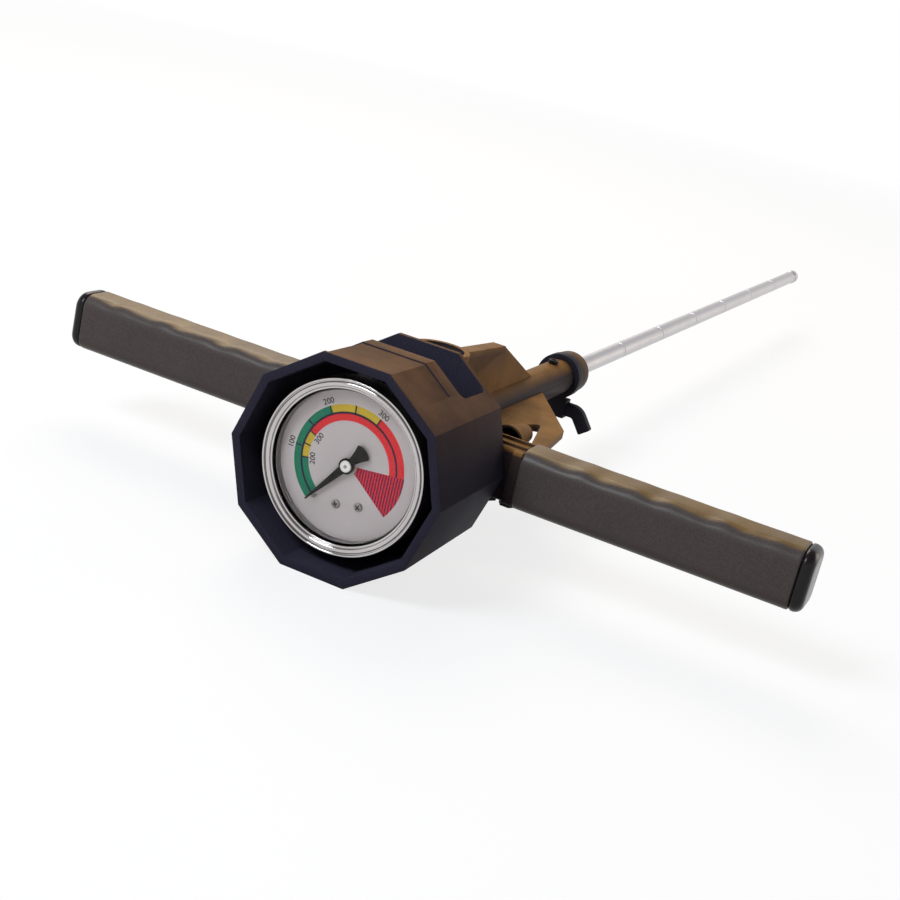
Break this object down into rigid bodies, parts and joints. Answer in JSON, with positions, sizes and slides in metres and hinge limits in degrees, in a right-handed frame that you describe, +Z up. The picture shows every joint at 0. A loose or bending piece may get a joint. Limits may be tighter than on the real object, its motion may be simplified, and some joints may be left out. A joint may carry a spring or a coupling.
{
  "type": "soil penetrometer",
  "caption": "Hand-held soil penetrometer: ten-sided housing with a dial gauge, two side grips on a webbed frame, and a long steel probe rod with a cone tip.",
  "frame": {"origin": "centre of the part's bounding box in X and Y, at the underside of the housing's front rim", "axes": "+X along the right-hand handle, +Y along the probe rod to its tip with the dial facing -Y, +Z up"},
  "size_m": [0.3604, 0.8338, 0.0913],
  "materials": {
    "housing_nylon": "moulded black nylon, fine grain",
    "frame_nylon": "moulded black nylon, satin",
    "collar_nylon": "moulded black nylon, satin",
    "grip_vinyl": "dipped dark grey vinyl, soft sheen",
    "gloss_cap": "glossy black plastic",
    "zinc_steel": "zinc-plated steel",
    "black_screw": "blackened steel",
    "rod_steel": "ground stainless steel, satin",
    "brass": "machined brass",
    "black_rubber": "moulded rubber",
    "case_enamel": "black enamel on drawn steel",
    "bezel_chrome": "polished stainless steel",
    "lens_clear": "clear moulded lens",
    "dial_enamel": "light grey printed enamel",
    "pointer_enamel": "black enamel",
    "cap_aluminium": "bright aluminium",
    "cell_aluminium": "turned aluminium"
  },
  "bodies": {
    "frame": {"gauge_housing": "housing_nylon", "frame_casting": "frame_nylon", "housing_screws": "zinc_steel", "cell_screws": "zinc_steel", "left_handle_bar": "zinc_steel", "right_handle_bar": "zinc_steel", "left_grip": "grip_vinyl", "right_grip": "grip_vinyl", "left_end_cap": "gloss_cap", "right_end_cap": "gloss_cap", "handle_bolts": "zinc_steel", "front_guide": "brass", "rear_guide": "brass", "guide_set_screw": "black_screw", "end_collar": "collar_nylon", "rod_wiper": "black_rubber", "clip_band": "gloss_cap", "clip_tab": "gloss_cap", "gauge_case": "case_enamel", "gauge_bezel": "bezel_chrome", "gauge_lens": "lens_clear", "lens_gasket": "black_rubber", "gauge_dial": "dial_enamel", "dial_screws": "zinc_steel", "stop_pin": "zinc_steel", "fill_plug": "black_rubber", "gauge_stem": "brass", "case_screws": "zinc_steel", "pressure_tube": "brass", "movement_plates": "brass", "hydraulic_cell": "cell_aluminium", "bleed_screw": "brass", "return_spring": "zinc_steel"},
    "rod": {"probe_rod": "rod_steel", "cone_tip": "rod_steel", "piston": "cell_aluminium", "piston_ring": "black_rubber", "piston_nut": "zinc_steel"},
    "pointer": {"pinion_arbor": "zinc_steel", "pointer": "pointer_enamel", "pointer_cap": "cap_aluminium"},
    "sector": {"sector_gear": "brass"},
    "link": {"tip_link": "brass", "tube_tip": "brass"}
  },
  "joints": [
    {"name": "rod_slide", "type": "slide", "parent": "frame", "child": "rod", "axis": [0, -1, 0], "range_m": [0, 0.003], "stiffness_N_per_m": 2000, "deforming": ["return_spring", "pressure_tube"]},
    {"name": "pointer_turn", "type": "hinge", "parent": "frame", "child": "pointer", "pos_m": [0, -0.39689, 0.04565], "axis": [0, 1, 0], "range_deg": [0, 252]},
    {"name": "sector_turn", "type": "hinge", "parent": "frame", "child": "sector", "pos_m": [0, -0.39689, 0.06065], "axis": [0, -1, 0], "range_deg": [0, 28]},
    {"name": "link_slide", "type": "slide", "parent": "frame", "child": "link", "axis": [-1, 0, 0], "range_m": [0, 0.00218]}
  ],
  "couplings": [
    {"joint": "pointer_turn", "follows": "rod_slide", "rad_per_m": 1466.1},
    {"joint": "sector_turn", "follows": "rod_slide", "rad_per_m": 162.9},
    {"joint": "link_slide", "follows": "rod_slide", "ratio": 0.7257}
  ]
}
